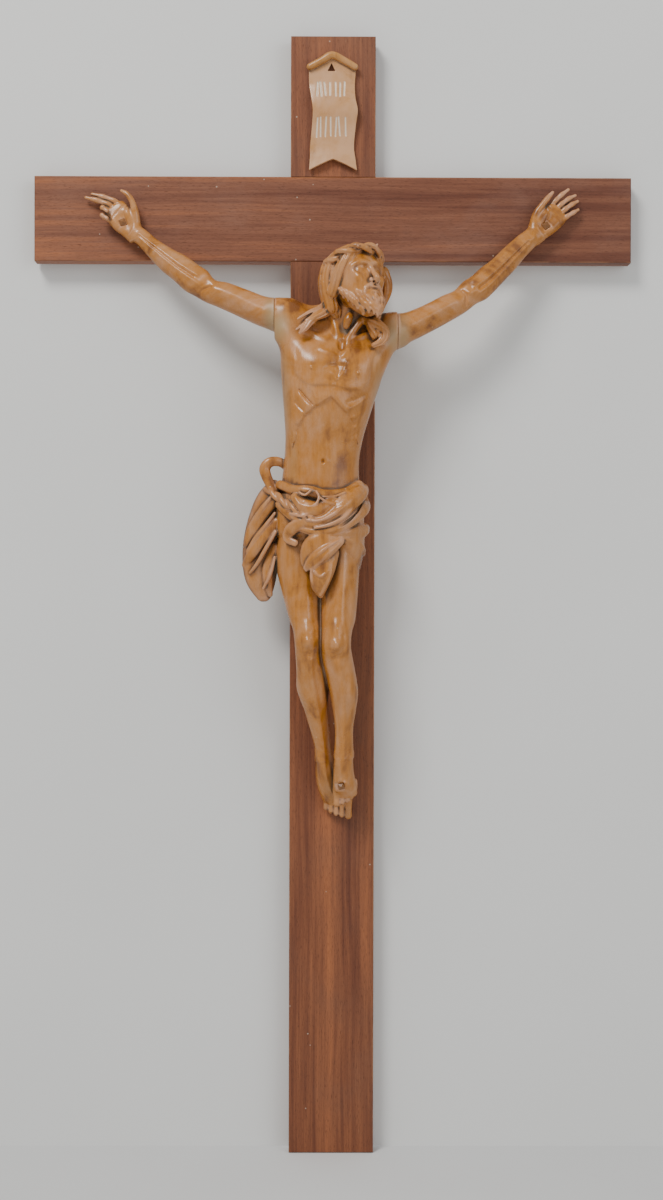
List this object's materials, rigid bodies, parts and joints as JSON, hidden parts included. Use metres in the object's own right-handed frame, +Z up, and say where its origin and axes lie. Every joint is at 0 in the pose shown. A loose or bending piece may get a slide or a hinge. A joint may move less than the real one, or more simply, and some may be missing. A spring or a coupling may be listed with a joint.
{
  "type": "wooden crucifix",
  "caption": "Dark wooden wall cross with a carved figure in golden-brown wood, bowed arms, twisted crown, knotted loincloth and a waved title scroll above.",
  "frame": {"origin": "on the flat back of the cross, at the middle of the crossing", "axes": "+Z up along the upright, +X to the viewer's right along the crossbar, the front with the figure facing -Y, the flat back facing +Y"},
  "size_m": [0.627, 0.1189, 1.175],
  "materials": {
    "cross_wood": "satin",
    "carved_wood": "satin",
    "peg_wood": "satin"
  },
  "bodies": {
    "root": {"upright": "cross_wood", "crossbar": "cross_wood", "corpus": "carved_wood", "arm_right": "carved_wood", "arm_left": "carved_wood", "title_scroll": "carved_wood", "nail_right_hand": "peg_wood", "nail_left_hand": "peg_wood", "nail_feet": "peg_wood"}
  },
  "joints": []
}
